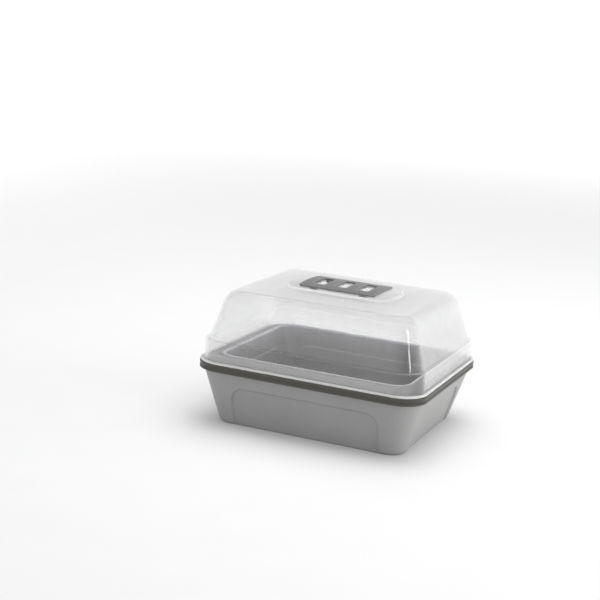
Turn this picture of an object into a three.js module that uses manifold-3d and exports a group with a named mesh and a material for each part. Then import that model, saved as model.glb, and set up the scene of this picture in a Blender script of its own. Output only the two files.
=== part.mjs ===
// Mini greenhouse for a windowsill: a water tray, a growing tray hung in it by its rim,
// a clear dome lid standing on that rim, and a vent slider clipped to the top of the lid.
// Millimetres, +Z up. The origin is on the resting plane, under the middle of the trays.
import * as THREE from 'three';
import { mergeVertices } from 'three/addons/utils/BufferGeometryUtils.js';
import Module from 'manifold-3d';

const wasm = await Module();
wasm.setup();

// Plan outline: the rim of the growing tray is the widest line of the object.
// Every inset below is measured inwards from that line.
const rimLength = 270;
const rimWidth = 234;
const rimCornerRadius = 31;
const cornerTightening = 0.5; // corner radius lost for each millimetre of inset
const leastCornerRadius = 4;

// Fits between the pieces
const seatGap = 0.3; // between a piece and the face it stands on
const lipClearance = 0.8; // between the lip and the water tray inside it
const lidClearance = 0.5; // between the lid and the upstand inside it
const slideClearance = 0.4; // around the slider's clips

// Water tray
const trayHeight = 70;
const trayFootInset = 22.8;
const trayWall = 2.2;
const trayFloor = 2.2;
const trayFootRadius = 5.5;
const trayPanelDepth = 2;
const trayPanelTop = 47.5;
const panelMargin = 47; // from the end of a side's rim to the edge of its panel
const panelCornerRadius = 16;

// Growing tray
const growWall = 1.6;
const growFloor = 1.8;
const lipThickness = 1.8;
const lipHeight = 8.2;
const lipGrooveDepth = 0.9;
const lipGrooveHeight = 2.4;
const lipBevel = 0.5;
const upstandHeight = 2.8;
const shelfBreakInset = 14;
const shelfBreakHeight = 4.8;
const basinMouthInset = 24.5;
const basinMouthHeight = 8.2;
const basinMouthRadius = 2;
const basinFloorInset = 37;
const basinFloorRadius = 6;
const waterGap = 9; // between the floors of the two trays
const basinPanelDepth = 2.6;
const basinPanelDrop = 16; // from the rim down to the top of a basin panel
const drainDiameter = 3.4;
const drainPitch = 30;
const drainMargin = 16;

// Dome lid
const lidWall = 1.3;
const flangeInset = 0.6;
const flangeThickness = 2.3;
const plinthInset = 4.4;
const plinthHeight = 25;
const ledgeWidth = 3.2;
const ledgeRise = 1;
const domeDraft = 16.5; // degrees from upright
const domeHeight = 81.5; // from the foot of the flange to the middle of the roof
const roofSlope = 1.8; // degrees from level
const roofFlatInset = 60;
const shoulderRadius = 17;

// Vent: a low arched hump on the roof, and the slider that lies on it
const humpLength = 132;
const humpWidth = 70;
const humpEndLength = 14;
const humpSideHeight = 2.8;
const humpCrown = 2.2;
const sliderLength = 93;
const sliderWidth = 62;
const sliderThickness = 1.8;
const sliderCornerRadius = 3;
const sliderTravel = 13;
const windowPitch = 26.7;
const windowWidth = 13;
const windowLength = 36;
const ventSlotWidth = 11;
const ventSlotLength = 33;
const clipSpacing = 60;
const clipRowSpacing = 48;
const clipLength = 8;
const clipThickness = 2;
const clipBarb = 1.8;
const clipBarbHeight = 1.4;

// How finely round stretches are divided
const cornerSteps = 6;
const filletSteps = 3;
const shoulderSteps = 6;
const archSteps = 6;
const outlineSteps = 4;
const drainSides = 8;
const filletRoom = 0.98; // share of an edge that a fillet may take up
const weldDistance = 1e-4;
const cutReach = 40; // how far a cutting body runs past the wall it cuts

// Heights that follow from the stack of pieces
const rimTop = trayHeight + seatGap + growWall;
const basinMouth = rimTop + basinMouthHeight;
const basinBottom = trayFloor + waterGap;
const lidFoot = rimTop + seatGap;
const roofTop = lidFoot + domeHeight;
const humpTop = roofTop + humpSideHeight + humpCrown;
const sliderUnderside = humpTop + seatGap;
const archRadius = (humpWidth * humpWidth) / (8 * humpCrown) + humpCrown / 2;

// Insets that follow from the fits
const trayTopInset = lipThickness + lipClearance;
const upstandInset = plinthInset + lidWall + lidClearance;

function solidOf(geometry) {
  geometry.deleteAttribute('normal');
  geometry.deleteAttribute('uv');
  const merged = mergeVertices(geometry, weldDistance);
  return new wasm.Manifold(new wasm.Mesh({
    numProp: 3,
    vertProperties: new Float32Array(merged.attributes.position.array),
    triVerts: new Uint32Array(merged.index.array),
  }));
}

function geometryOf(solid) {
  const { vertProperties, triVerts } = solid.getMesh();
  const geometry = new THREE.BufferGeometry();
  geometry.setAttribute('position', new THREE.BufferAttribute(vertProperties, 3));
  geometry.setIndex(new THREE.BufferAttribute(triVerts, 1));
  return geometry.toNonIndexed();
}

function piece(name, solid, finish) {
  const geometry = geometryOf(solid);
  geometry.computeVertexNormals();
  const mesh = new THREE.Mesh(geometry, new THREE.MeshStandardMaterial(finish));
  mesh.name = name;
  return mesh;
}

// One ring of the plan outline at an inset, anticlockwise seen from above.
function ring(inset) {
  const radius = Math.max(leastCornerRadius, rimCornerRadius - cornerTightening * inset);
  const alongX = rimLength / 2 - inset - radius;
  const alongY = rimWidth / 2 - inset - radius;
  const corners = [[1, -1, -90], [1, 1, 0], [-1, 1, 90], [-1, -1, 180]];
  return corners.flatMap(([signX, signY, startAngle]) =>
    Array.from({ length: cornerSteps + 1 }, (_, step) => {
      const angle = THREE.MathUtils.degToRad(startAngle + (90 * step) / cornerSteps);
      return [signX * alongX + radius * Math.cos(angle), signY * alongY + radius * Math.sin(angle)];
    }));
}

// A profile is a list of [inset, height, radius]: the corner at each point is rounded to its radius.
function rounded(profile, steps = filletSteps) {
  return profile.flatMap(([inset, height, radius], index) => {
    if (!radius) return [[inset, height]];
    const point = new THREE.Vector2(inset, height);
    const [before, after] = [profile[index - 1], profile[index + 1]].map(([otherInset, otherHeight]) =>
      new THREE.Vector2(otherInset, otherHeight).sub(point));
    const halfAngle = before.angleTo(after) / 2;
    const room = Math.min(before.length(), after.length()) * filletRoom;
    const setback = Math.min(radius / Math.tan(halfAngle), room);
    const start = before.normalize().multiplyScalar(setback).add(point);
    const end = after.normalize().multiplyScalar(setback).add(point);
    const toCentre = start.clone().add(end).multiplyScalar(0.5).sub(point);
    const centre = toCentre.normalize().multiplyScalar(setback / Math.cos(halfAngle)).add(point);
    const sweep = Math.PI - 2 * halfAngle;
    const turn = Math.sign(start.clone().sub(centre).cross(end.clone().sub(centre)));
    return Array.from({ length: steps + 1 }, (_, step) => {
      const spot = start.clone().rotateAround(centre, (turn * sweep * step) / steps);
      return [spot.x, spot.y];
    });
  });
}

// A closed body through one ring for each point of a profile, with a flat cap on both ends.
// The profile runs so that the body lies on its inner side: from the lower cap outwards and up.
function ringBody(profile) {
  const rings = profile.map(([inset, height]) => ring(inset).map(([x, y]) => [x, y, height]));
  const count = rings[0].length;
  const vertices = rings.flat(2);
  const triangles = [];
  for (let level = 0; level + 1 < rings.length; level += 1) {
    for (let spot = 0; spot < count; spot += 1) {
      const next = (spot + 1) % count;
      const [a, b] = [level * count + spot, level * count + next];
      triangles.push(a, b, b + count, a, b + count, a + count);
    }
  }
  const lastRing = (rings.length - 1) * count;
  const lowMiddle = vertices.length / 3;
  vertices.push(0, 0, profile[0][1], 0, 0, profile.at(-1)[1]);
  for (let spot = 0; spot < count; spot += 1) {
    const next = (spot + 1) % count;
    triangles.push(lowMiddle, next, spot, lowMiddle + 1, lastRing + spot, lastRing + next);
  }
  const geometry = new THREE.BufferGeometry();
  geometry.setAttribute('position', new THREE.Float32BufferAttribute(vertices, 3));
  geometry.setIndex(triangles);
  return solidOf(geometry);
}

function box(lengthX, lengthY, low, high, x = 0, y = 0) {
  const geometry = new THREE.BoxGeometry(lengthX, lengthY, high - low);
  return solidOf(geometry.translate(x, y, (low + high) / 2));
}

function union(solids) {
  return solids.reduce((sum, solid) => sum.add(solid));
}

// Panels: each wall of a tray has an arched field set back from it, open at the foot.
// A wall is the straight line between two [inset, height] points of its outer face.
// The body that cuts a field runs square to the wall, and grow widens it by a wall thickness.
function panelBodies(foot, top, depth, panelTop, grow) {
  const slant = Math.hypot(top[0] - foot[0], top[1] - foot[1]) / (top[1] - foot[1]);
  const reachUp = (panelTop - foot[1]) * slant + grow;
  const radius = panelCornerRadius + grow;
  const lean = Math.atan2(foot[0] - top[0], top[1] - foot[1]);
  const sides = [[rimLength, rimWidth, 0], [rimWidth, rimLength, 90], [rimLength, rimWidth, 180],
    [rimWidth, rimLength, 270]];
  return sides.map(([alongRim, acrossRim, turn]) => {
    const half = alongRim / 2 - panelMargin + grow;
    const arch = new THREE.Shape();
    arch.moveTo(-half, -cutReach);
    arch.lineTo(half, -cutReach);
    arch.lineTo(half, reachUp - radius);
    arch.absarc(half - radius, reachUp - radius, radius, 0, Math.PI / 2);
    arch.absarc(radius - half, reachUp - radius, radius, Math.PI / 2, Math.PI);
    const geometry = new THREE.ExtrudeGeometry(arch,
      { depth: depth + cutReach, bevelEnabled: false, curveSegments: outlineSteps });
    geometry.translate(0, 0, -depth - grow);
    geometry.rotateX(Math.PI / 2 + lean);
    geometry.translate(0, foot[0] - acrossRim / 2, foot[1]);
    geometry.rotateZ(THREE.MathUtils.degToRad(turn));
    return solidOf(geometry);
  });
}

// A tray of even wall: the filled outside less the hollow, both stepped in at the panels.
function panelledTray(outside, hollow, foot, top, depth, panelTop, wall) {
  const fields = union(panelBodies(foot, top, depth, panelTop, 0));
  const bulges = union(panelBodies(foot, top, depth, panelTop, wall));
  return ringBody(outside).subtract(fields).subtract(ringBody(hollow).subtract(bulges));
}

function waterTray() {
  const foot = [trayFootInset, 0];
  const top = [trayTopInset, trayHeight];
  const wallInset = (height) => foot[0] + ((top[0] - foot[0]) * height) / trayHeight;
  const outside = rounded([
    [trayFootInset + 2 * trayFootRadius, 0],
    [...foot, trayFootRadius],
    top,
  ]);
  const hollow = rounded([
    [wallInset(trayFloor) + trayWall + 2 * trayFootRadius, trayFloor],
    [wallInset(trayFloor) + trayWall, trayFloor, trayFootRadius],
    [top[0] + trayWall, trayHeight],
    [top[0] + trayWall, trayHeight + cutReach],
  ]);
  return panelledTray(outside, hollow, foot, top, trayPanelDepth, trayPanelTop, trayWall);
}

// The growing tray: lip with a groove round it, flat rim for the lid, upstand inside the lid,
// shelf rising to the mouth of the basin, and the basin with its pierced floor.
function growingTray() {
  const basinFloor = basinBottom + growFloor;
  const basinLean = (basinFloorInset - basinMouthInset) / (basinMouth - basinFloor);
  const faceInset = (height) => basinMouthInset + basinLean * (basinMouth - height);
  const foot = [faceInset(basinBottom) - growWall, basinBottom];
  const shelfUnder = basinMouth - growWall;
  const top = [faceInset(shelfUnder) - growWall, shelfUnder];
  const lipFoot = rimTop - lipHeight;
  const grooveMiddle = rimTop - lipHeight / 2;
  const grooveLow = grooveMiddle - lipGrooveHeight / 2;
  const grooveHigh = grooveMiddle + lipGrooveHeight / 2;
  const outside = rounded([
    [foot[0] + 2 * basinFloorRadius, basinBottom],
    [...foot, basinFloorRadius],
    top,
    [shelfBreakInset, rimTop + shelfBreakHeight - growWall],
    [upstandInset + growWall, rimTop + upstandHeight - growWall],
    [upstandInset + growWall, rimTop - growWall],
    [lipThickness, rimTop - growWall],
    [lipThickness, lipFoot],
    [lipBevel, lipFoot],
    [0, lipFoot + lipBevel],
    [0, grooveLow - lipBevel],
    [lipGrooveDepth, grooveLow],
    [lipGrooveDepth, grooveHigh],
    [0, grooveHigh + lipBevel],
    [0, rimTop - lipBevel],
    [lipBevel, rimTop],
    [upstandInset, rimTop],
    [upstandInset, rimTop + upstandHeight],
    [shelfBreakInset, rimTop + shelfBreakHeight],
    [basinMouthInset, basinMouth, basinMouthRadius],
    [faceInset(basinMouth - 2 * basinMouthRadius), basinMouth - 2 * basinMouthRadius],
  ]);
  const mouthEnd = basinMouth - 2 * basinMouthRadius;
  const hollow = rounded([
    [basinFloorInset + 2 * basinFloorRadius, basinFloor],
    [basinFloorInset, basinFloor, basinFloorRadius],
    [faceInset(mouthEnd), mouthEnd],
    [faceInset(mouthEnd), basinMouth + cutReach],
  ]);
  const panelTop = rimTop - basinPanelDrop;
  const tray = panelledTray(outside, hollow, foot, top, basinPanelDepth, panelTop, growWall);
  return tray.subtract(union(drainHoles(basinBottom, basinFloor)));
}

// Drain holes on an even grid, as many as the flat of the floor takes.
function drainHoles(low, high) {
  const flatInset = basinFloorInset + basinPanelDepth + drainMargin;
  const places = (rim) => {
    const gaps = Math.max(1, Math.floor((rim - 2 * flatInset) / drainPitch));
    return Array.from({ length: gaps + 1 }, (_, index) => (index - gaps / 2) * drainPitch);
  };
  return places(rimLength).flatMap((x) => places(rimWidth).map((y) => {
    const hole = new THREE.CylinderGeometry(drainDiameter / 2, drainDiameter / 2,
      high - low + 2 * cutReach, drainSides);
    return solidOf(hole.rotateX(Math.PI / 2).translate(x, y, (low + high) / 2));
  }));
}

// Outer face of the lid from the top of the flange to the middle of the roof, at a depth
// below the face: 0 for the face itself, a wall thickness for the inside.
function domeFace(depth) {
  const draft = Math.tan(THREE.MathUtils.degToRad(domeDraft));
  const pitch = Math.tan(THREE.MathUtils.degToRad(roofSlope));
  const ledgeHeight = lidFoot + plinthHeight;
  const wallFoot = [plinthInset + ledgeWidth + depth, ledgeHeight + ledgeRise - depth];
  const roofMiddle = roofTop - depth;
  const roofAtWall = roofMiddle - (roofFlatInset - wallFoot[0]) * pitch;
  const rise = (roofAtWall - wallFoot[1]) / (1 - draft * pitch);
  const shoulder = [wallFoot[0] + rise * draft, wallFoot[1] + rise, shoulderRadius - depth];
  return [
    [plinthInset + depth, ledgeHeight - depth],
    ...rounded([wallFoot, shoulder, [roofFlatInset, roofMiddle]], shoulderSteps),
  ];
}

// The hump's plan: straight sides and elliptical ends. The inset shrinks it all round.
function humpPlan(inset) {
  const straight = humpLength / 2 - humpEndLength;
  const plan = new THREE.Shape();
  const [endLength, halfWidth] = [humpEndLength - inset, humpWidth / 2 - inset];
  plan.absellipse(straight, 0, endLength, halfWidth, -Math.PI / 2, Math.PI / 2);
  plan.absellipse(-straight, 0, endLength, halfWidth, Math.PI / 2, (3 * Math.PI) / 2);
  return plan;
}

function upright(plan, low, high) {
  const settings = { depth: high - low, bevelEnabled: false, curveSegments: 2 * outlineSteps };
  return solidOf(new THREE.ExtrudeGeometry(plan, settings).translate(0, 0, low));
}

// How far the hump's arch has come down from its crown at a distance from the middle line.
function archDrop(y) {
  return archRadius - Math.sqrt(archRadius * archRadius - y * y);
}

// A bar along X whose top and bottom follow the hump's arch: top is the height of the crown.
// Without a thickness the bar goes straight down from the arch.
function archedBar(top, thickness) {
  const half = Math.max(humpWidth, sliderWidth) / 2 + seatGap;
  const across = Array.from({ length: archSteps + 1 }, (_, step) => half * ((2 * step) / archSteps - 1));
  const upper = across.map((y) => new THREE.Vector2(y, top - archDrop(y)));
  const lower = upper.map(({ x, y }) => new THREE.Vector2(x, thickness ? y - thickness : roofTop - cutReach));
  const section = new THREE.Shape([...lower, ...upper.reverse()]);
  const bar = new THREE.ExtrudeGeometry(section, { depth: 2 * humpLength, bevelEnabled: false });
  bar.translate(0, 0, -humpLength);
  const toLengthwise = new THREE.Matrix4().makeBasis(
    new THREE.Vector3(0, 1, 0), new THREE.Vector3(0, 0, 1), new THREE.Vector3(1, 0, 0));
  return solidOf(bar.applyMatrix4(toLengthwise));
}

const ventPlaces = [-windowPitch, 0, windowPitch];
const clipPlaces = [-1, 1].flatMap((endX) => [-1, 1].map((sideY) =>
  [(endX * clipSpacing) / 2, (sideY * clipRowSpacing) / 2, sideY]));

function domeLid() {
  const flangeTop = lidFoot + flangeThickness;
  const outside = [
    [flangeInset, lidFoot],
    [flangeInset, flangeTop],
    [plinthInset, flangeTop],
    ...domeFace(0),
  ];
  const hollow = [
    [plinthInset + lidWall, lidFoot - cutReach],
    ...domeFace(lidWall),
  ];
  const shell = ringBody(outside).subtract(ringBody(hollow));
  const hump = upright(humpPlan(0), roofTop - lidWall, humpTop + cutReach).intersect(archedBar(humpTop));
  const humpHollow = upright(humpPlan(lidWall), roofTop - cutReach / 2, humpTop + cutReach)
    .intersect(archedBar(humpTop - lidWall));
  const ventSlots = ventPlaces.map((x) =>
    box(ventSlotWidth, ventSlotLength, roofTop - cutReach / 2, humpTop + cutReach, x));
  const guideSlots = clipPlaces.map(([x, y]) => box(clipLength + sliderTravel + 2 * slideClearance,
    clipThickness + 2 * slideClearance, roofTop - cutReach / 2, humpTop + cutReach, x + sliderTravel / 2, y));
  return shell.add(hump).subtract(union([humpHollow, ...ventSlots, ...guideSlots]));
}

// The slider: an arched plate with three windows over the lid's vent slots, and four clips
// that reach down through the guide slots, with a barb under the hump on the outer side.
function ventSlider() {
  const crown = sliderUnderside + sliderThickness;
  const plan = new THREE.Shape();
  const [halfX, halfY, radius] = [sliderLength / 2, sliderWidth / 2, sliderCornerRadius];
  plan.absarc(halfX - radius, radius - halfY, radius, -Math.PI / 2, 0);
  plan.absarc(halfX - radius, halfY - radius, radius, 0, Math.PI / 2);
  plan.absarc(radius - halfX, halfY - radius, radius, Math.PI / 2, Math.PI);
  plan.absarc(radius - halfX, radius - halfY, radius, Math.PI, (3 * Math.PI) / 2);
  const plate = upright(plan, roofTop - cutReach, crown + cutReach)
    .intersect(archedBar(crown, sliderThickness));
  const windows = ventPlaces.map((x) =>
    box(windowWidth, windowLength, roofTop, crown + cutReach, x));
  const clips = clipPlaces.flatMap(([x, y, side]) => {
    const drop = archDrop(Math.abs(y) + clipThickness + clipBarb);
    const barbTop = humpTop - drop - lidWall - slideClearance;
    const barbLow = barbTop - clipBarbHeight;
    const stem = box(clipLength, clipThickness, barbLow, crown - drop, x, y);
    const barb = box(clipLength, clipThickness + clipBarb, barbLow, barbTop, x, y + (side * clipBarb) / 2);
    return [stem, barb];
  });
  return plate.subtract(union(windows)).add(union(clips));
}

const greenhouse = new THREE.Group();
greenhouse.add(
  piece('water_tray', waterTray(), { color: '#a2a2a0', roughness: 0.5, metalness: 0 }),
  piece('growing_tray', growingTray(), { color: '#57564f', roughness: 0.45, metalness: 0 }),
  piece('dome_lid', domeLid(),
    { color: '#f1f4f5', roughness: 0.06, metalness: 0, transparent: true, opacity: 0.2 }),
  piece('vent_slider', ventSlider(), { color: '#8d8d8b', roughness: 0.5, metalness: 0 }),
);

export default greenhouse;
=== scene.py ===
from math import cos, pi, radians, sin, sqrt, tan

import bpy
import numpy as np
from mathutils import Matrix, Vector
from mathutils.geometry import delaunay_2d_cdt


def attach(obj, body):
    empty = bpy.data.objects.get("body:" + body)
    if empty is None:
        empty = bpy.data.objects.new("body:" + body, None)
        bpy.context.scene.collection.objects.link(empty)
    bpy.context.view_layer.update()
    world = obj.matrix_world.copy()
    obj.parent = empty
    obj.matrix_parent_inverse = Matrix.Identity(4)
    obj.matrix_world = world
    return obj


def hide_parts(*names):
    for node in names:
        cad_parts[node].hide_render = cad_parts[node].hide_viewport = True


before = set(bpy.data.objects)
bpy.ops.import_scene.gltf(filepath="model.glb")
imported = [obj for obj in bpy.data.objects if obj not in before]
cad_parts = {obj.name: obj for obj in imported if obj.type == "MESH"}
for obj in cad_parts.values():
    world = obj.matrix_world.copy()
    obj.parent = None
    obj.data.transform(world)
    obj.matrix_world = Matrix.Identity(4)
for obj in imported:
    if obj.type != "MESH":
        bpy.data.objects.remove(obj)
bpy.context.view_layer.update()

# Camera: stands at the front right and a little above, at the place that the photograph was taken
# from, with the same small lean to one side. The object's origin is given as the camera sees it.
LENS_MM, SENSOR_MM = 80.77, 36
ORIGIN_RIGHT, ORIGIN_AHEAD, ORIGIN_DOWN = 0.04186, 1.58159, 0.13834
yaw, pitch, roll = radians(22.45), radians(12.36), radians(4.14)


def link_object(name, data):
    """Puts data into the scene as a new object."""
    thing = bpy.data.objects.new(name, data)
    bpy.context.scene.collection.objects.link(thing)
    return thing


level_right = Vector((cos(yaw), sin(yaw), 0))
ahead = Vector((-sin(yaw), cos(yaw), 0))
look = ahead * cos(pitch) - Vector((0, 0, sin(pitch)))
level_up = ahead * sin(pitch) + Vector((0, 0, cos(pitch)))
camera_right = level_right * cos(roll) + level_up * sin(roll)
camera_up = level_up * cos(roll) - level_right * sin(roll)
camera_data = bpy.data.cameras.new("photo_camera")
camera_data.sensor_width = SENSOR_MM
camera_data.lens = LENS_MM
camera_data.clip_end = 100
camera = link_object("photo_camera", camera_data)
camera.matrix_world = Matrix.Translation(
    -(camera_right * ORIGIN_RIGHT + look * ORIGIN_AHEAD - camera_up * ORIGIN_DOWN)
) @ Matrix((camera_right, camera_up, -look)).transposed().to_4x4()
bpy.context.scene.camera = camera
bpy.context.scene.view_settings.view_transform = "Standard"

# Light table: the plain pale floor under the object, which runs far past the frame. One board of
# matt white acrylic, lit from below away from the middle, so that it meets the surround unseen.
MM = 0.001
FLOOR_RADIUS, FLOOR_SIDES = 60, 96
FLOOR_DROP = 0.2  # mm below the object's underside, which keeps the two faces apart
UNLIT_WITHIN, LIT_BEYOND = 0.6, 4.0  # metres from the middle
LEAST_GLOW, MOST_GLOW = 0.03, 0.66


def linear(hex_colour):
    """An sRGB hex colour as linear red, green, blue and alpha."""
    parts = [int(hex_colour[i:i + 2], 16) / 255 for i in (1, 3, 5)]
    return (*(p / 12.92 if p <= 0.04045 else ((p + 0.055) / 1.055) ** 2.4 for p in parts), 1.0)


def add_node(tree, kind, inputs=None, **settings):
    """Adds a node, sets it up, and gives each named input a value or a link."""
    node = tree.nodes.new(kind)
    for name, value in settings.items():
        setattr(node, name, value)
    for name, value in (inputs or {}).items():
        if isinstance(value, bpy.types.NodeSocket):
            tree.links.new(value, node.inputs[name])
        else:
            node.inputs[name].default_value = value
    return node


def new_material(name):
    """An empty node material and its tree."""
    material = bpy.data.materials.new(name)
    material.use_nodes = True
    material.node_tree.nodes.clear()
    return material, material.node_tree


# Matt white acrylic: the eye sees an even pale sheet without gloss, with the faintest unevenness.
lit_board, tree = new_material("acrylic_light_table_matt_white")
place = add_node(tree, "ShaderNodeTexCoord").outputs["Object"]
coat = add_node(tree, "ShaderNodeTexNoise", {"Vector": place, "Scale": 1 / (60 * MM), "Detail": 4})
away = add_node(tree, "ShaderNodeVectorMath", {0: place}, operation="LENGTH")
lit = add_node(tree, "ShaderNodeMapRange", {
    "Value": away.outputs["Value"], "From Min": UNLIT_WITHIN, "From Max": LIT_BEYOND,
    "To Min": LEAST_GLOW, "To Max": MOST_GLOW}, interpolation_type="SMOOTHSTEP")
coat_colour = add_node(tree, "ShaderNodeMix", {
    "Factor": coat.outputs[0], "A": linear("#cacaca"), "B": linear("#cdcdcd")}, data_type="RGBA")
board = add_node(tree, "ShaderNodeBsdfPrincipled", {
    "Base Color": coat_colour.outputs["Result"], "Roughness": 0.9, "IOR": 1.1,
    "Emission Color": linear("#ffffff"), "Emission Strength": lit.outputs["Result"]})
add_node(tree, "ShaderNodeOutputMaterial", {"Surface": board.outputs["BSDF"]})

floor_mesh = bpy.data.meshes.new("studio_floor")
edge = np.linspace(0, 2 * pi, FLOOR_SIDES, endpoint=False)
floor_mesh.from_pydata(
    [(FLOOR_RADIUS * cos(a), FLOOR_RADIUS * sin(a), -FLOOR_DROP * MM) for a in edge], [],
    [tuple(range(FLOOR_SIDES))])
floor_mesh.materials.append(lit_board)
link_object("studio_floor", floor_mesh)

# Surround: the white studio round the light table, as soft light without edges. It is white at the
# horizon all round, has a broad light at the front left, and is dim above.
SKY_STRENGTH = 0.52
surround = bpy.data.worlds.new("soft_surround")
surround.use_nodes = True
tree = surround.node_tree
tree.nodes.clear()
direction = add_node(tree, "ShaderNodeTexCoord").outputs["Generated"]
glows = []
# Each glow: where it lies, the cosines from there at which it begins and is full, its strength.
for aim, begins, full, strength in (
    ((0, 0, -1), -0.5, -0.14, 0.54),
    ((-0.372, -0.88, 0.294), 0.35, 0.94, 0.5),
):
    nearness = add_node(tree, "ShaderNodeVectorMath", {0: direction, 1: aim}, operation="DOT_PRODUCT")
    glows.append(add_node(tree, "ShaderNodeMapRange", {
        "Value": nearness.outputs["Value"], "From Min": begins, "From Max": full, "To Max": strength},
        interpolation_type="SMOOTHSTEP").outputs["Result"])
both = add_node(tree, "ShaderNodeMath", {0: glows[0], 1: glows[1]}, operation="ADD")
whole = add_node(tree, "ShaderNodeMath", {0: both.outputs[0], 1: SKY_STRENGTH}, operation="ADD")
sky = add_node(tree, "ShaderNodeBackground", {
    "Color": linear("#fdfdff"), "Strength": whole.outputs[0]})
add_node(tree, "ShaderNodeOutputWorld", {"Surface": sky.outputs["Background"]})
bpy.context.scene.world = surround

# Light panels: soft boxes above and at both sides, and a narrow strip that gives the lid's corner
# its line of light. Each has its place, width, height and power, and whether gloss mirrors it.
PANEL_AIM = Vector((0, 0, 0.08))
for name, stand, width, height, power, mirrored in (
    ("top_panel", (0.1, 0.3, 1.9), 1.8, 1.8, 38, False),
    ("right_panel", (1.75, 0.5, 0.26), 1.4, 0.4, 22, False),
    ("right_strip", (1.7, -0.7, 1.0), 0.14, 1.5, 6.5, True),
    ("left_panel", (-2.6, 0.9, 0.7), 1.4, 1.0, 14, False),
):
    panel = bpy.data.lights.new(name, "AREA")
    panel.shape = "RECTANGLE"
    panel.size = width
    panel.size_y = height
    panel.energy = power
    lamp = link_object(name, panel)
    lamp.location = stand
    lamp.visible_glossy = mirrored
    lamp.rotation_euler = (PANEL_AIM - lamp.location).to_track_quat("-Z", "Y").to_euler()

# Water tray: the light grey outer tray. Injection-moulded polypropylene, 2.2 mm thick, with an
# arched field set back in each sloping wall and a rounded foot. It stands on its flat underside.
RIM_LENGTH, RIM_WIDTH = 270.0, 234.0  # over the lip, the widest line of the whole object
RIM_CORNER, LEAST_CORNER = 31.0, 4.0
CORNER_LOSS = 0.5  # taken off the corner's radius for each millimetre of inset
CORNER_STEPS = 18
FIELD_MARGIN = 47.0  # from the end of a side's rim to the edge of its arched field
FIELD_CORNER = 16.0
FIELD_STEP = 1.4  # width of the drafted step round a field
EDGE_BEGINS, EDGE_ENDS = 0.58, 0.965  # shares of half a side that hold the step, in fine columns
WALL_ALONG = ((1, 0), (0, 1), (-1, 0), (0, -1))
WALL_OUT = ((0, -1), (1, 0), (0, 1), (-1, 0))
half_columns = np.concatenate([
    np.linspace(0, EDGE_BEGINS, 9)[:-1],
    np.linspace(EDGE_BEGINS, EDGE_ENDS, 46)[:-1],
    np.linspace(EDGE_ENDS, 1, 4)])
COLUMNS = np.concatenate([-half_columns[:0:-1], half_columns])
SHARP_BEND = radians(42)  # from here on an edge is shaded as sharp


def wall_halves(wall):
    """Half the rim along a wall, and from the middle out to that wall."""
    return (RIM_LENGTH / 2, RIM_WIDTH / 2) if wall % 2 == 0 else (RIM_WIDTH / 2, RIM_LENGTH / 2)


def plan_spots(inset):
    """One closed line of the rim's shape at an inset, as wall, along and out for each spot.
    It runs anticlockwise from the front wall. A corner's spots go to the nearer wall."""
    radius = max(LEAST_CORNER, RIM_CORNER - CORNER_LOSS * inset)
    angle = np.linspace(0, pi / 2, CORNER_STEPS + 1)[1:-1]
    spots = []
    for wall in range(4):
        half, reach = (size - inset for size in wall_halves(wall))
        next_half, next_reach = (size - inset for size in wall_halves(wall + 1))
        spots += [(wall, (half - radius) * share, reach) for share in COLUMNS]
        for a in angle:
            if a < pi / 4:
                spots.append((wall, half - radius + radius * sin(a), reach - radius + radius * cos(a)))
            else:
                spots.append(((wall + 1) % 4, -(next_half - radius + radius * cos(a)),
                              next_reach - radius + radius * sin(a)))
    return np.array(spots)


def at_height(plan, height):
    """Spots of the plan, all at one height."""
    return np.column_stack([plan, np.full(len(plan), height)])


def ring(inset, height, setback=None):
    """A ring of points at a height. A setback moves each wall's own points inwards."""
    spots = plan_spots(inset)
    wall, along, out = spots[:, 0].astype(int), spots[:, 1], spots[:, 2]
    if setback:
        out = out - setback(wall, along, height, inset)
    along_wall, out_of_wall = np.take(WALL_ALONG, wall, axis=0), np.take(WALL_OUT, wall, axis=0)
    return at_height(along[:, None] * along_wall + out[:, None] * out_of_wall, height)


def arched_field(face, top, grow):
    """How far a wall is set back at a spot by an arched field, open at the foot. The field's own
    face has an inset for each height, and the rounded foot stays where it lies behind that."""
    halves = np.array([wall_halves(wall)[0] for wall in range(4)]) - FIELD_MARGIN

    def setback(wall, along, height, inset):
        side = np.abs(along) - (halves[wall] - FIELD_CORNER)
        rise = height - (top - FIELD_CORNER)
        away = np.hypot(np.maximum(side, 0), max(rise, 0)) + np.minimum(np.maximum(side, rise), 0)
        share = np.clip((FIELD_CORNER - away + grow) / FIELD_STEP, 0, 1)
        return max(face(height) - inset, 0) * share * share * (3 - 2 * share)

    return setback


def soften(profile, steps=5, tight_steps=3):
    """Rounds a profile of (inset, height, radius), where a fourth number says how pale the skin is
    made there: stacking rub, painted highlight and painted light. Gives (inset, height,
    rub_and_light). Bends under 1 mm take fewer steps."""
    points = [(*point, 0.0)[:4] for point in profile]
    line = [(*points[0][:2], points[0][3])]
    for before, (inset, height, radius, rub_and_light), after in zip(points, points[1:], points[2:]):
        if not radius:
            line.append((inset, height, rub_and_light))
            continue
        corner = Vector((inset, height))
        to_before, to_after = Vector(before[:2]) - corner, Vector(after[:2]) - corner
        half_angle = to_before.angle(to_after) / 2
        room = 0.49 * min(to_before.length, to_after.length)
        back = min(radius / tan(half_angle), room)
        to_before, to_after = to_before.normalized(), to_after.normalized()
        start, end = corner + to_before * back, corner + to_after * back
        middle = corner + (to_before + to_after).normalized() * back / cos(half_angle)
        first, last = start - middle, end - middle
        bends = steps if radius >= 1 else tight_steps
        for step in range(bends + 1):
            arm = first.slerp(last, step / bends) if first.angle(last) > 1e-4 else first
            spot = middle + arm.normalized() * first.length
            line.append((spot.x, spot.y, rub_and_light))
    line.append((*points[-1][:2], points[-1][3]))
    return line


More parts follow.
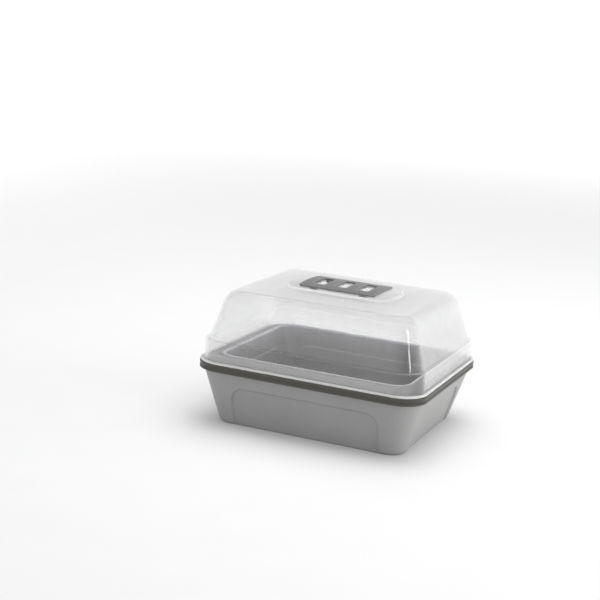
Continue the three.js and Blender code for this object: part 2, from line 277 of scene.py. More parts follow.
def in_rows(line, fine_low=0, fine_high=0, fine=0.75, coarse=2.5):
    """Divides the long stretches of a line into rows, finely between two heights."""
    rows = [line[0]]
    for (inset, height, rub_and_light), (next_inset, next_height, next_rub_and_light) in zip(line, line[1:]):
        low, high = min(height, next_height), max(height, next_height)
        tall = high - low > 1
        cuts = {0.0, 1.0}
        if tall:
            cuts |= {(level - height) / (next_height - height) for level in (fine_low, fine_high)
                     if low < level < high}
        cuts = sorted(cuts)
        for begin, stop in zip(cuts, cuts[1:]):
            middle = height + (next_height - height) * (begin + stop) / 2
            length = (stop - begin) * sqrt((next_inset - inset) ** 2 + (next_height - height) ** 2)
            step = fine if tall and fine_low < middle < fine_high else coarse
            count = max(1, round(length / step))
            for index in range(1, count + 1):
                t = begin + (stop - begin) * index / count
                rows.append((inset + (next_inset - inset) * t, height + (next_height - height) * t,
                             rub_and_light + (next_rub_and_light - rub_and_light) * t))
    return rows


class Moulding:
    """Collects the points, faces and wear_and_sheen of one closed piece, in millimetres: rubbed places,
    and painted highlights and painted light.
    """

    def __init__(self):
        self.points, self.faces, self.wear_and_sheen = [], [], []

    def put(self, spots, wear_and_sheen=0.0):
        """Adds spots, with one wear_and_sheen value for all or one for each, and gives their numbers.
        """
        first = len(self.points)
        self.points.extend(map(tuple, spots))
        self.wear_and_sheen.extend(np.broadcast_to(wear_and_sheen, len(spots)))
        return list(range(first, len(self.points)))

    def band(self, lower, upper):
        """Joins two closed loops that have the same count of spots."""
        count = len(lower)
        for i in range(count):
            j = (i + 1) % count
            self.faces.append((lower[i], lower[j], upper[j], upper[i]))

    def loft(self, loops):
        """Joins each loop to the next."""
        for lower, upper in zip(loops, loops[1:]):
            self.band(lower, upper)

    def finished(self, name, material):
        """The piece as an object in metres, with its wear_and_sheen kept on its points."""
        mesh = bpy.data.meshes.new(name)
        mesh.from_pydata((np.array(self.points) * MM).tolist(), [], self.faces)
        mesh.validate()
        mesh.attributes.new("wear_and_sheen", "FLOAT", "POINT").data.foreach_set(
            "value", np.array(self.wear_and_sheen, np.float32))
        mesh.shade_smooth()
        mesh.set_sharp_from_angle(angle=SHARP_BEND)
        mesh.materials.append(material)
        return link_object(name, mesh)


def moulded_polypropylene(name, colour, pale, rough, grain_depth):
    """Moulded polypropylene: a satin, slightly waxy skin. The eye sees a fine spark-eroded grain,
    broad soft flow marks, a few dull scuffs, and paler streaks set by the points' wear_and_sheen:
    rub from stacking, and painted highlights and painted light where a piece asks for them."""
    material, tree = new_material(name)
    place = add_node(tree, "ShaderNodeTexCoord").outputs["Object"]
    # The real grain is about 0.3 mm, too fine to show: it is drawn at 0.9 mm.
    grain = add_node(tree, "ShaderNodeTexNoise", {
        "Vector": place, "Scale": 1 / (0.9 * MM), "Detail": 2, "Roughness": 0.6})
    flow = add_node(tree, "ShaderNodeTexNoise", {
        "Vector": place, "Scale": 1 / (45 * MM), "Detail": 3, "Distortion": 0.6})
    stretched = add_node(tree, "ShaderNodeMapping", {
        "Vector": place, "Scale": (1.0, 1.0, 0.2), "Rotation": (0.4, 0.25, 0.7)})
    scuffs = add_node(tree, "ShaderNodeTexNoise", {
        "Vector": stretched.outputs["Vector"], "Scale": 1 / (2.2 * MM), "Detail": 3, "Roughness": 0.7})
    scuff = add_node(tree, "ShaderNodeMapRange", {
        "Value": scuffs.outputs[0], "From Min": 0.62, "From Max": 0.74, "To Min": 0.0, "To Max": 0.35})
    # Pale streaks: stacking rub, and painted highlights and painted light where the points ask for
    # them.
    rub_and_sheen = add_node(tree, "ShaderNodeAttribute", attribute_name="wear_and_sheen")
    upright = add_node(tree, "ShaderNodeMapping", {"Vector": place, "Scale": (1.0, 1.0, 0.07)})
    streaks = add_node(tree, "ShaderNodeTexNoise", {
        "Vector": upright.outputs["Vector"], "Scale": 1 / (5 * MM), "Detail": 2})
    streak = add_node(tree, "ShaderNodeMapRange", {
        "Value": streaks.outputs[0], "From Min": 0.33, "From Max": 0.67, "To Min": 0.6, "To Max": 0.88})
    patch = add_node(tree, "ShaderNodeMapRange", {
        "Value": flow.outputs[0], "From Min": 0.35, "From Max": 0.65, "To Min": 0.75, "To Max": 1.0})
    rub_and_sheen_streak = add_node(tree, "ShaderNodeMath", {
        0: rub_and_sheen.outputs["Fac"], 1: streak.outputs["Result"]}, operation="MULTIPLY")
    rub_and_sheen_share = add_node(tree, "ShaderNodeMath", {
        0: rub_and_sheen_streak.outputs[0], 1: patch.outputs["Result"]}, operation="MULTIPLY")
    deep, light, dull = (
        tuple(c * gain for c in linear(colour)[:3]) + (1.0,) for gain in (0.9, 1.1, 1.5))
    skin = add_node(tree, "ShaderNodeMix", {
        "Factor": flow.outputs[0], "A": deep, "B": light}, data_type="RGBA")
    scuffed = add_node(tree, "ShaderNodeMix", {
        "Factor": scuff.outputs["Result"], "A": skin.outputs["Result"], "B": dull}, data_type="RGBA")
    worn_and_sheen = add_node(tree, "ShaderNodeMix", {
        "Factor": rub_and_sheen_share.outputs[0], "A": scuffed.outputs["Result"], "B": linear(pale)},
        data_type="RGBA")
    dullness = add_node(tree, "ShaderNodeMapRange", {
        "Value": flow.outputs[0], "To Min": rough - 0.07, "To Max": rough + 0.07})
    relief = add_node(tree, "ShaderNodeBump", {
        "Height": grain.outputs[0], "Strength": 0.35, "Distance": grain_depth * MM})
    body = add_node(tree, "ShaderNodeBsdfPrincipled", {
        "Base Color": worn_and_sheen.outputs["Result"], "Roughness": dullness.outputs["Result"],
        "IOR": 1.49, "Normal": relief.outputs["Normal"]})
    add_node(tree, "ShaderNodeOutputMaterial", {"Surface": body.outputs["BSDF"]})
    return material


TRAY_HEIGHT, TRAY_WALL = 70.0, 2.2
TRAY_FOOT_INSET, TRAY_TOP_INSET = 22.8, 2.6
TRAY_FOOT_RADIUS, TRAY_EDGE_RADIUS = 5.5, 0.7
TRAY_FIELD_TOP, TRAY_FIELD_DEPTH = 47.5, 2.1
TRAY_FIELD_ROWS = (30, 50)  # heights that hold the arch of a field, in fine rows
UNDER_FLAT, UNDER_CAP = 40, 54  # insets of two rings on the flat underside, the inner one closed
FLOOR_FLAT, FLOOR_CAP = 46, 58  # the same on the flat floor
tray_lean = (TRAY_FOOT_INSET - TRAY_TOP_INSET) / TRAY_HEIGHT
tray_inside = TRAY_FOOT_INSET - tray_lean * TRAY_WALL + TRAY_WALL


def tray_field(height):
    """Inset of a field's outer face at a height."""
    return TRAY_FOOT_INSET - tray_lean * height + TRAY_FIELD_DEPTH


outer_field = arched_field(tray_field, TRAY_FIELD_TOP, 0)
inner_field = arched_field(lambda height: tray_field(height) + TRAY_WALL, TRAY_FIELD_TOP, TRAY_WALL)
tray_outside = in_rows(soften([
    (UNDER_FLAT, 0, 0),
    (TRAY_FOOT_INSET, 0, TRAY_FOOT_RADIUS),
    (TRAY_TOP_INSET, TRAY_HEIGHT, TRAY_EDGE_RADIUS),
    (TRAY_TOP_INSET + TRAY_WALL / 2, TRAY_HEIGHT, 0)]), *TRAY_FIELD_ROWS)
tray_within = in_rows(soften([
    (TRAY_TOP_INSET + TRAY_WALL / 2, TRAY_HEIGHT, 0),
    (TRAY_TOP_INSET + TRAY_WALL, TRAY_HEIGHT, TRAY_EDGE_RADIUS),
    (tray_inside, TRAY_WALL, TRAY_FOOT_RADIUS),
    (FLOOR_FLAT, TRAY_WALL, 0)]), *TRAY_FIELD_ROWS)

tray = Moulding()
loops = [tray.put(ring(UNDER_CAP, 0))]
loops += [tray.put(ring(inset, height, outer_field), rub_and_light) for inset, height, rub_and_light in tray_outside]
loops += [tray.put(ring(inset, height, inner_field), rub_and_light) for inset, height, rub_and_light in tray_within[1:]]
loops.append(tray.put(ring(FLOOR_CAP, TRAY_WALL)))
tray.loft(loops)
tray.faces.append(tuple(reversed(loops[0])))
tray.faces.append(tuple(loops[-1]))
tray_plastic = moulded_polypropylene(
    "polypropylene_moulded_light_grey", "#898988", "#9e9e9c", rough=0.46, grain_depth=0.05)
water_tray = tray.finished("water_tray_shell", tray_plastic)
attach(water_tray, "water_tray")
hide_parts("water_tray")

# Growing tray: the dark tray that hangs in the water tray by its rim. Injection-moulded
# polypropylene, 1.6 mm thick: grooved lip, flat rim, upstand, shelf, and a basin with drain holes.
GROW_WALL = 1.6
SEAT_GAP = 0.3  # kept between a piece and the one that it stands on
RIM_TOP = TRAY_HEIGHT + SEAT_GAP + GROW_WALL
LIP_WALL, LIP_FOOT, LIP_MIDDLE = 1.8, RIM_TOP - 8.2, RIM_TOP - 4.1
GROOVE_DEPTH, GROOVE_FLOOR, GROOVE_MOUTH = 0.9, 1.2, 1.7  # the last two from its middle, up and down
UPSTAND_INSET, UPSTAND_TOP = 6.2, RIM_TOP + 2.8
SHELF_BREAK = (14.0, RIM_TOP + 4.8)
BASIN_MOUTH = RIM_TOP + 8.2
SHELF_EDGE = (20.8, BASIN_MOUTH - 1.2)
BASIN_UNDER, BASIN_FLOOR = 11.2, 13.0
MOUTH_INSET, FOOT_INSET, BASIN_FOOT_RADIUS = 24.5, 37.0, 6
RUB_AND_LIGHT_MOUTH, RUB_AND_LIGHT_WALL = BASIN_MOUTH - 3.6, 60  # heights down to which the wall is paled: stacking rub, and painted light on its upper part
BASIN_FIELD_TOP, BASIN_FIELD_DEPTH = RIM_TOP - 16, 2.6
BASIN_FIELD_ROWS = (38, 58)
BASIN_UNDER_FLAT, BASIN_FLOOR_FLAT, BASIN_CAP = 45, 46, 50
basin_lean = (FOOT_INSET - MOUTH_INSET) / (BASIN_MOUTH - BASIN_FLOOR)


def basin_inset(height):
    """Inset of the basin's inner face at a height."""
    return MOUTH_INSET + basin_lean * (BASIN_MOUTH - height)


def within(loop, spots):
    """Which spots lie inside a closed line in the plan."""
    x, y = spots[:, 0], spots[:, 1]
    inside = np.zeros(len(spots), bool)
    for (ax, ay), (bx, by) in zip(loop, np.roll(loop, -1, axis=0)):
        if ay != by:
            inside ^= ((ay > y) != (by > y)) & (x < (bx - ax) * (y - ay) / (by - ay) + ax)
    return inside


def pierced_field(outline, holes, pitch):
    """Fills an outline in the plan, less its holes, with triangles. Gives the extra spots inside
    and the triangles, which count through the outline, the holes and the extra spots."""
    lines = [np.asarray(line)[:, :2] for line in (outline, *holes)]
    spots = np.vstack(lines)
    edges, first = [], 0
    for line in lines:
        edges += [(first + i, first + (i + 1) % len(line)) for i in range(len(line))]
        first += len(line)
    low, high = lines[0].min(axis=0), lines[0].max(axis=0)
    grid = np.stack(np.meshgrid(*(np.arange(a + pitch / 2, b, pitch) for a, b in zip(low, high))), -1)
    grid = grid.reshape(-1, 2)
    near = np.min(np.hypot(*(grid[:, None, :] - spots[None, :, :]).transpose(2, 0, 1)), axis=1)
    free = within(lines[0], grid) & (near > 0.5 * pitch)
    for line in lines[1:]:
        free &= ~within(line, grid)
    grid = grid[free]
    every = np.vstack([spots, grid])
    made = delaunay_2d_cdt([Vector(p) for p in every], edges, [], 0, 1e-7)
    old = [group[0] for group in made[3]]
    triangles = np.array([[old[i] for i in face] for face in made[2]])
    middles = every[triangles].mean(axis=1)
    keep = within(lines[0], middles)
    for line in lines[1:]:
        keep &= ~within(line, middles)
    return grid, triangles[keep]


def fill_pierced(piece, loop, holes, pitch, lift, face_down, wear_and_sheen=0.0):
    """Closes a loop of a piece with triangles, less its holes. The lift gives spots of the plan
    their height. Gives the loops round the holes."""
    outline = np.array([piece.points[i] for i in loop])
    grid, triangles = pierced_field(outline, holes, pitch)
    rims = [piece.put(lift(line), wear_and_sheen) for line in holes]
    extra = piece.put(lift(grid))
    order = np.array(loop + sum(rims, []) + extra)
    for triangle in order[triangles]:
        piece.faces.append(tuple(triangle[::-1] if face_down else triangle))
    return rims


# The fourth numbers pale the dark skin: a painted highlight along the basin's mouth, and painted light
# on the shelf and the top of the basin wall, with some stacking rub.
grow_under = soften([
    (BASIN_UNDER_FLAT, BASIN_UNDER, 0),
    (basin_inset(BASIN_UNDER) - GROW_WALL, BASIN_UNDER, BASIN_FOOT_RADIUS),
    (basin_inset(BASIN_MOUTH - GROW_WALL) - GROW_WALL, BASIN_MOUTH - GROW_WALL, 1.2),
    (SHELF_BREAK[0], SHELF_BREAK[1] - GROW_WALL, 2.5),
    (UPSTAND_INSET + GROW_WALL, UPSTAND_TOP - GROW_WALL, 0.5),
    (UPSTAND_INSET + GROW_WALL, RIM_TOP - GROW_WALL, 0.4),
    (LIP_WALL, RIM_TOP - GROW_WALL, 0.4),
    (LIP_WALL, LIP_FOOT, 0.4),
    (0, LIP_FOOT, 0.7),
    (0, LIP_MIDDLE - GROOVE_MOUTH, 0.35),
    (GROOVE_DEPTH, LIP_MIDDLE - GROOVE_FLOOR, 0.35),
    (GROOVE_DEPTH, LIP_MIDDLE + GROOVE_FLOOR, 0.35),
    (0, LIP_MIDDLE + GROOVE_MOUTH, 0.35),
    (0, RIM_TOP, 0.7),
    (UPSTAND_INSET, RIM_TOP, 0.5),
    (UPSTAND_INSET, UPSTAND_TOP, 0.8, 0.15),
    (*SHELF_BREAK, 2.5, 0.12),
    (*SHELF_EDGE, 0, 0.12),
    (MOUTH_INSET, BASIN_MOUTH, 2.0, 0.9),
    (basin_inset(RUB_AND_LIGHT_MOUTH), RUB_AND_LIGHT_MOUTH, 0, 0.4),
    (basin_inset(RUB_AND_LIGHT_WALL), RUB_AND_LIGHT_WALL, 0, 0.15)])
grow_within = soften([
    (basin_inset(RUB_AND_LIGHT_WALL), RUB_AND_LIGHT_WALL, 0, 0.15),
    (FOOT_INSET, BASIN_FLOOR, BASIN_FOOT_RADIUS),
    (BASIN_FLOOR_FLAT, BASIN_FLOOR, 0)])
outer_field = arched_field(
    lambda height: basin_inset(height) - GROW_WALL + BASIN_FIELD_DEPTH, BASIN_FIELD_TOP, 0)
inner_field = arched_field(
    lambda height: basin_inset(height) + BASIN_FIELD_DEPTH, BASIN_FIELD_TOP, GROW_WALL)

basin = Moulding()
loops = [basin.put(ring(BASIN_CAP, BASIN_UNDER))]
for inset, height, rub_and_light in in_rows(grow_under, *BASIN_FIELD_ROWS)[:-1]:
    loops.append(basin.put(ring(inset, height, outer_field), rub_and_light))
for inset, height, rub_and_light in in_rows(grow_within, *BASIN_FIELD_ROWS):
    loops.append(basin.put(ring(inset, height, inner_field), rub_and_light))
loops.append(basin.put(ring(BASIN_CAP, BASIN_FLOOR)))
basin.loft(loops)

DRAIN_DIAMETER, DRAIN_FLARE, DRAIN_PITCH = 3.4, 0.4, 30.0
DRAIN_SIDES = 16
drains = [(DRAIN_PITCH * (i - 2.5), DRAIN_PITCH * (j - 2)) for i in range(6) for j in range(5)]
turn = np.linspace(0, 2 * pi, DRAIN_SIDES, endpoint=False)
circle = np.column_stack([np.cos(turn), np.sin(turn)])
flared = [circle * (DRAIN_DIAMETER / 2 + DRAIN_FLARE) + spot for spot in drains]
under_rims = fill_pierced(
    basin, loops[0], flared, 15, lambda plan: at_height(plan, BASIN_UNDER), face_down=True)
floor_rims = fill_pierced(
    basin, loops[-1], flared, 15, lambda plan: at_height(plan, BASIN_FLOOR), face_down=False)
for under_rim, floor_rim, spot in zip(under_rims, floor_rims, drains):
    bore = circle * DRAIN_DIAMETER / 2 + spot
    low = basin.put(at_height(bore, BASIN_UNDER + DRAIN_FLARE))
    high = basin.put(at_height(bore, BASIN_FLOOR - DRAIN_FLARE))
    basin.loft([floor_rim, high, low, under_rim])
# The pale colour is stacking rub, and the painted highlight and painted light of the mouth, shelf and
# upper wall.
dark_plastic = moulded_polypropylene(
    "polypropylene_moulded_dark_olive", "#3e3c37", "#c8c8cf", rough=0.42, grain_depth=0.006)
growing_tray = basin.finished("growing_tray_shell", dark_plastic)
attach(growing_tray, "growing_tray")
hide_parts("growing_tray")

# Dome lid: the clear cover that stands on the rim. Injection-moulded polystyrene, 1.3 mm thick:
# flange, upright plinth, ledge, sloping dome, and a low hump on the roof with vent slots.
LID_WALL, LID_FOOT = 1.3, RIM_TOP + SEAT_GAP
FLANGE_INSET, FLANGE_TOP, FLANGE_ROUND = 0.6, LID_FOOT + 2.3, 1.0
PLINTH_INSET, LEDGE = 4.4, LID_FOOT + 25
LEDGE_WIDTH, LEDGE_RISE, LEDGE_BEND = 3.2, 1, 1.2
DRAFT, ROOF_PITCH = tan(radians(16.5)), tan(radians(1.8))
SHOULDER_RADIUS = 17
ROOF_TOP, ROOF_FLAT = LID_FOOT + 81.5, 60.0  # the roof slopes up to its level at this inset
HUMP_STRAIGHT, HUMP_END, HUMP_HALF = 52.0, 14.0, 35.0
HUMP_TOP, ARCH_RISE = ROOF_TOP + 5.0, 2.2
ARCH_RADIUS = (2 * HUMP_HALF) ** 2 / (8 * ARCH_RISE) + ARCH_RISE / 2
LID_BEND_STEPS = 7
# The haze on the flange's edge is a painted highlight: a white band that stands in for its line of
# light.
EDGE_HIGHLIGHT_HAZE, FLANGE_HAZE, PLINTH_HAZE = 0.8, 0.2, 0.22
PLINTH_HAZE_TOP, PLINTH_HAZE_FADE = FLANGE_TOP + 12, 4
END_CLEARING, END_FOOT_CLEARING, HUMP_CLEARING = 0.1, 0.15, 0.3


def arch_drop(y):
    """How far the hump's arch has come down from its crown at a distance from the middle line."""
    return ARCH_RADIUS - np.sqrt(ARCH_RADIUS ** 2 - np.square(y))


def on_hump(plan, depth):
    """Spots of the plan at a depth below the hump's arched top."""
    return np.column_stack([plan, HUMP_TOP - depth - arch_drop(plan[:, 1])])


def dome_line(depth):
    """Ledge, dome wall, shoulder and roof at a depth below the outer face."""
    foot = (PLINTH_INSET + LEDGE_WIDTH + depth, LEDGE + LEDGE_RISE - depth)
    roof = ROOF_TOP - depth
    rise = (roof - (ROOF_FLAT - foot[0]) * ROOF_PITCH - foot[1]) / (1 - DRAFT * ROOF_PITCH)
    return [(PLINTH_INSET + depth, LEDGE - depth, LEDGE_BEND), (*foot, LEDGE_BEND),
            (foot[0] + rise * DRAFT, foot[1] + rise, SHOULDER_RADIUS - depth), (ROOF_FLAT, roof, 0)]


def hump_ring(inset, share, depth):
    """A line round the hump at an inset from its foot, a share of the way up to its arched top."""
    side, corner = len(COLUMNS), CORNER_STEPS - 1
    end = np.linspace(-pi / 2, pi / 2, side + 2 * corner + 2)[1:-1]
    end_length, half = max(HUMP_END - inset, 0.1), HUMP_HALF - inset
    front = np.column_stack([COLUMNS * HUMP_STRAIGHT, np.full(side, -half)])
    right = np.column_stack([HUMP_STRAIGHT + end_length * np.cos(end), half * np.sin(end)])
    plan = np.vstack([front, right, -front, -right])
    level = ROOF_TOP + share * (HUMP_TOP - arch_drop(plan[:, 1]) - ROOF_TOP) - depth
    return np.column_stack([plan, level])


def haze_and_highlight(spots, inset, height):
    """Haze put on the lid: most on the flange's edge, where it is a painted highlight that stands in
    for the flange's line of light, and some low on the front and back of the plinth. The ends of the
    plinth stay clearer than the rest."""
    if inset < FLANGE_INSET + FLANGE_ROUND + 0.1:
        return EDGE_HIGHLIGHT_HAZE
    if height < FLANGE_TOP + 0.1:
        return FLANGE_HAZE
    if height > LEDGE - 1:
        return 0.0
    front_gap = RIM_WIDTH / 2 - inset - np.abs(spots[:, 1])
    end_gap = RIM_LENGTH / 2 - inset - np.abs(spots[:, 0])
    end_share = front_gap / (front_gap + end_gap)
    low = min(max((PLINTH_HAZE_TOP - height) / PLINTH_HAZE_FADE, 0), 1)
    cleared = END_CLEARING + END_FOOT_CLEARING * low
    return (1 - end_share) * PLINTH_HAZE * low - end_share * cleared


lid_step = (PLINTH_INSET + LID_WALL, LID_FOOT + 1.2, 0)  # where the flange's underside turns in
outer_line = in_rows(soften([
    lid_step,
    (PLINTH_INSET + LID_WALL, LID_FOOT, 0.4),
    (FLANGE_INSET, LID_FOOT, FLANGE_ROUND),
    (FLANGE_INSET, FLANGE_TOP, FLANGE_ROUND),
    (PLINTH_INSET, FLANGE_TOP, 0.9),
    *dome_line(0)], LID_BEND_STEPS))
inner_line = in_rows(soften([lid_step, *dome_line(LID_WALL)], LID_BEND_STEPS))[::-1]
# The hump's side, as insets from its foot with the share of its height: hollow, then round.
hump_side = ((-2.2, 0), (-1.3, 0.05), (-0.6, 0.18), (0.0, 0.42),
             (0.4, 0.68), (0.9, 0.88), (1.6, 0.98), (2.4, 1))
VENT_PITCH, SLOT_EDGE = 26.7, 0.3
CLIP_X, CLIP_Y = 30.0, 24.0  # where the slider's clips reach through, from the middle
GUIDE_SHIFT = 6.5  # half the slider's travel
# Each opening of the hump: length, width, corner radius and middle.
vent_slots = [(11.0, 33.0, 2.0, VENT_PITCH * i, 0.0) for i in (-1, 0, 1)]
guide_slots = [(21.8, 2.8, 1.2, CLIP_X * i + GUIDE_SHIFT, CLIP_Y * j)
               for i in (-1, 1) for j in (-1, 1)]


def rounded_plan(length, width, radius, x, y, steps=6):
    """A rounded rectangle in the plan, anticlockwise, round a middle."""
    line = []
    for quarter, (side_x, side_y) in enumerate(((1, -1), (1, 1), (-1, 1), (-1, -1))):
        for step in range(steps + 1):
            a = pi / 2 * (quarter - 1 + step / steps)
            line.append((x + side_x * (length / 2 - radius) + radius * cos(a),
                         y + side_y * (width / 2 - radius) + radius * sin(a)))
    return np.array(line)


lid = Moulding()
outer_loops, inner_loops = [], []
for inset, height, _ in outer_line:
    spots = ring(inset, height)
    outer_loops.append(lid.put(spots, haze_and_highlight(spots, inset, height)))
for inset, share in hump_side:
    haze = -HUMP_CLEARING if 0 < share < 1 else 0.0
    outer_loops.append(lid.put(hump_ring(inset, share, 0), haze))
for inset, share in hump_side[::-1]:
    haze = -HUMP_CLEARING if 0 < share < 1 else 0.0
    inner_loops.append(lid.put(hump_ring(inset + LID_WALL, share, LID_WALL), haze))
for inset, height, _ in inner_line[:-1]:
    spots = ring(inset, height)
    inner_loops.append(lid.put(spots, np.minimum(haze_and_highlight(spots, inset, height), 0)))
lid.loft(outer_loops)
lid.loft(inner_loops)
lid.band(inner_loops[-1], outer_loops[0])
rounded_slots = [rounded_plan(length + 2 * SLOT_EDGE, width + 2 * SLOT_EDGE, radius + SLOT_EDGE, x, y)
                 for length, width, radius, x, y in vent_slots + guide_slots]
upper_rims = fill_pierced(
    lid, outer_loops[-1], rounded_slots, 5, lambda plan: on_hump(plan, 0), face_down=False)
lower_rims = fill_pierced(
    lid, inner_loops[0], rounded_slots, 5, lambda plan: on_hump(plan, LID_WALL), face_down=True)
for upper_rim, lower_rim, slot in zip(upper_rims, lower_rims, vent_slots + guide_slots):
    line = rounded_plan(*slot)
    high = lid.put(on_hump(line, SLOT_EDGE))
    low = lid.put(on_hump(line, LID_WALL - SLOT_EDGE))
    lid.loft([upper_rim, high, low, lower_rim])

# Clear moulded polystyrene: the eye sees what is behind it a little greyed, bright mirror lines on
# its bends, a faint waviness in them, and a thin haze with cloudy patches, thicker at a slant.
CLEAR_IOR = 1.59
LEAST_HAZE, CLOUD_HAZE, HAZE_LIMIT = 0.046, 0.058, 0.45  # straight on, in cloudy patches, at a slant
SLANT_POWER = 2.3  # how fast the haze thickens at a slant
LIT_THROUGH = 0.73  # share of the haze that takes its light from behind
clear_plastic, tree = new_material("polystyrene_moulded_clear")
place = add_node(tree, "ShaderNodeTexCoord").outputs["Object"]
facing = add_node(tree, "ShaderNodeLayerWeight", {"Blend": 0.5}).outputs["Facing"]
steepness = add_node(tree, "ShaderNodeMath", {0: facing, 1: 5.0}, operation="POWER")
mirror_share = add_node(tree, "ShaderNodeMapRange", {
    "Value": steepness.outputs[0], "To Min": ((CLEAR_IOR - 1) / (CLEAR_IOR + 1)) ** 2, "To Max": 1.0})
waves = add_node(tree, "ShaderNodeTexNoise", {"Vector": place, "Scale": 1 / (30 * MM), "Detail": 2})
ripple = add_node(tree, "ShaderNodeBump", {
    "Height": waves.outputs[0], "Strength": 0.1, "Distance": 0.5 * MM})
through = add_node(tree, "ShaderNodeBsdfTransparent", {"Color": linear("#fafafa")})
mirror = add_node(tree, "ShaderNodeBsdfGlossy", {
    "Color": linear("#fcfcfc"), "Roughness": 0.06, "Normal": ripple.outputs["Normal"]})
clear = add_node(tree, "ShaderNodeMixShader", {
    0: mirror_share.outputs["Result"], 1: through.outputs[0], 2: mirror.outputs[0]})
clouds = add_node(tree, "ShaderNodeTexNoise", {"Vector": place, "Scale": 1 / (40 * MM), "Detail": 3})
cloudiness = add_node(tree, "ShaderNodeMapRange", {
    "Value": clouds.outputs[0], "From Min": 0.3, "From Max": 0.75,
    "To Min": LEAST_HAZE, "To Max": CLOUD_HAZE})
slant = add_node(tree, "ShaderNodeMath", {0: 1.1, 1: facing}, operation="SUBTRACT")
thinness = add_node(tree, "ShaderNodeMath", {0: slant.outputs[0], 1: SLANT_POWER}, operation="POWER")
depth_haze = add_node(tree, "ShaderNodeMath", {
    0: cloudiness.outputs["Result"], 1: thinness.outputs[0]}, operation="DIVIDE")
limited = add_node(tree, "ShaderNodeMath", {
    0: depth_haze.outputs[0], 1: HAZE_LIMIT}, operation="MINIMUM")
# The points' haze adds to it; on the flange's edge it is a painted highlight.
rub_and_sheen = add_node(tree, "ShaderNodeAttribute", attribute_name="wear_and_sheen")
haze_share = add_node(tree, "ShaderNodeMath", {
    0: rub_and_sheen.outputs["Fac"], 1: limited.outputs[0]}, operation="ADD", use_clamp=True)
bright_haze = add_node(tree, "ShaderNodeBsdfDiffuse", {"Color": linear("#f8f8f8")})
lit_haze = add_node(tree, "ShaderNodeBsdfTranslucent", {"Color": linear("#f8f8f8")})
hazy = add_node(tree, "ShaderNodeMixShader", {
    0: LIT_THROUGH, 1: bright_haze.outputs[0], 2: lit_haze.outputs[0]})
surface = add_node(tree, "ShaderNodeMixShader", {
    0: haze_share.outputs[0], 1: clear.outputs[0], 2: hazy.outputs[0]})
add_node(tree, "ShaderNodeOutputMaterial", {"Surface": surface.outputs[0]})
dome_lid = lid.finished("dome_lid_shell", clear_plastic)
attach(dome_lid, "dome_lid")
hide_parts("dome_lid")

# Vent slider: the grey arched plate that lies on the hump. Injection-moulded polypropylene with
# three windows, and four clips that reach down through the hump's guide slots to hold it.
SLIDER_THICKNESS, SLIDER_EDGE = 1.8, 0.45
SLIDER_TOP = HUMP_TOP + SEAT_GAP + SLIDER_THICKNESS
plate_size = (93.0, 62.0, 3.0, 0.0, 0.0)  # length, width, corner radius and middle, as a window's
windows = [(13.0, 36.0, 1.6, VENT_PITCH * i, 0.0) for i in (-1, 0, 1)]
CLIP_LENGTH, CLIP_THICKNESS, CLIP_BARB = 8.0, 2.0, 1.8
CLIP_ROOT = 0.9  # depth in the plate at which a clip begins
BARB_PLAY = 0.4  # between the hump's underside and a clip's barb
BARB_HEIGHT, BARB_FACE, BARB_TIP = 1.4, 0.4, 0.3  # whole, its upright face, how far its tip stands out
EDGE_WEAR, CLIP_WEAR = 1.0, 0.3


def dense_plan(length, width, radius, x, y, edge):
    """A rounded rectangle drawn in or out by an edge, with spots every 3 mm or so."""
    line = rounded_plan(length + 2 * edge, width + 2 * edge, radius + edge, x, y)
    spots = []
    for a, b in zip(line, np.roll(line, -1, axis=0)):
        count = max(1, round(np.hypot(*(b - a)) / 3))
        spots += [a + (b - a) * i / count for i in range(count)]
    return np.array(spots)


def on_plate(plan, depth):
    """Spots of the plan at a depth below the plate's arched top."""
    return np.column_stack([plan, SLIDER_TOP - depth - arch_drop(plan[:, 1])])


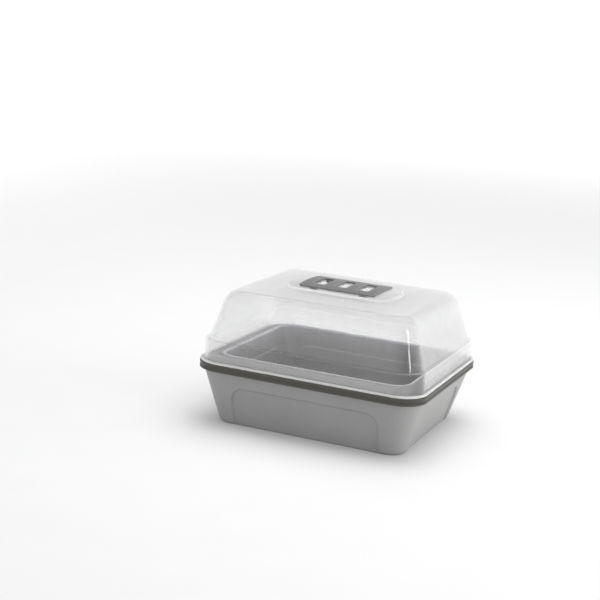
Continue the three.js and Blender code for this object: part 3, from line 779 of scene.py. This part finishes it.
slider = Moulding()
face_outline, side_outline = dense_plan(*plate_size, -SLIDER_EDGE), dense_plan(*plate_size, 0)
rounded_windows = [dense_plan(*window, SLIDER_EDGE) for window in windows]
faces = []
for depth in (0, SLIDER_THICKNESS):
    loop = slider.put(on_plate(face_outline, depth), EDGE_WEAR)
    rims = fill_pierced(slider, loop, rounded_windows, 4, lambda plan: on_plate(plan, depth),
                        face_down=depth > 0, wear_and_sheen=EDGE_WEAR)
    faces.append((loop, rims))
(top_loop, top_rims), (under_loop, under_rims) = faces
side_low = slider.put(on_plate(side_outline, SLIDER_THICKNESS - SLIDER_EDGE), EDGE_WEAR)
side_high = slider.put(on_plate(side_outline, SLIDER_EDGE), EDGE_WEAR)
slider.loft([under_loop, side_low, side_high, top_loop])
for top_rim, under_rim, window in zip(top_rims, under_rims, windows):
    line = dense_plan(*window, 0)
    high = slider.put(on_plate(line, SLIDER_EDGE), EDGE_WEAR)
    low = slider.put(on_plate(line, SLIDER_THICKNESS - SLIDER_EDGE), EDGE_WEAR)
    slider.loft([top_rim, high, low, under_rim])

clip_drop = arch_drop(CLIP_Y + CLIP_THICKNESS + CLIP_BARB)
barb_top = HUMP_TOP - clip_drop - LID_WALL - BARB_PLAY
clip_root = SLIDER_TOP - clip_drop - CLIP_ROOT
clip_back, clip_front = CLIP_Y - CLIP_THICKNESS / 2, CLIP_Y + CLIP_THICKNESS / 2
hook = np.array([
    (clip_back, barb_top - BARB_HEIGHT), (clip_front + BARB_TIP, barb_top - BARB_HEIGHT),
    (clip_front + CLIP_BARB, barb_top - BARB_FACE), (clip_front + CLIP_BARB, barb_top),
    (clip_front, barb_top), (clip_front, clip_root), (clip_back, clip_root)])
for end in (-1, 1):
    for section in (hook[::-1] * (-1, 1), hook):
        ends = [slider.put([(CLIP_X * end + offset, y, z) for y, z in section], CLIP_WEAR)
                for offset in (-CLIP_LENGTH / 2, CLIP_LENGTH / 2)]
        slider.band(*ends)
        slider.faces += [tuple(reversed(ends[0])), tuple(ends[1])]
slider_plastic = moulded_polypropylene(
    "polypropylene_moulded_mid_grey", "#5c5b5a", "#6e6d6c", rough=0.44, grain_depth=0.05)
vent_slider = slider.finished("vent_slider_plate", slider_plastic)
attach(vent_slider, "vent_slider")
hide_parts("vent_slider")
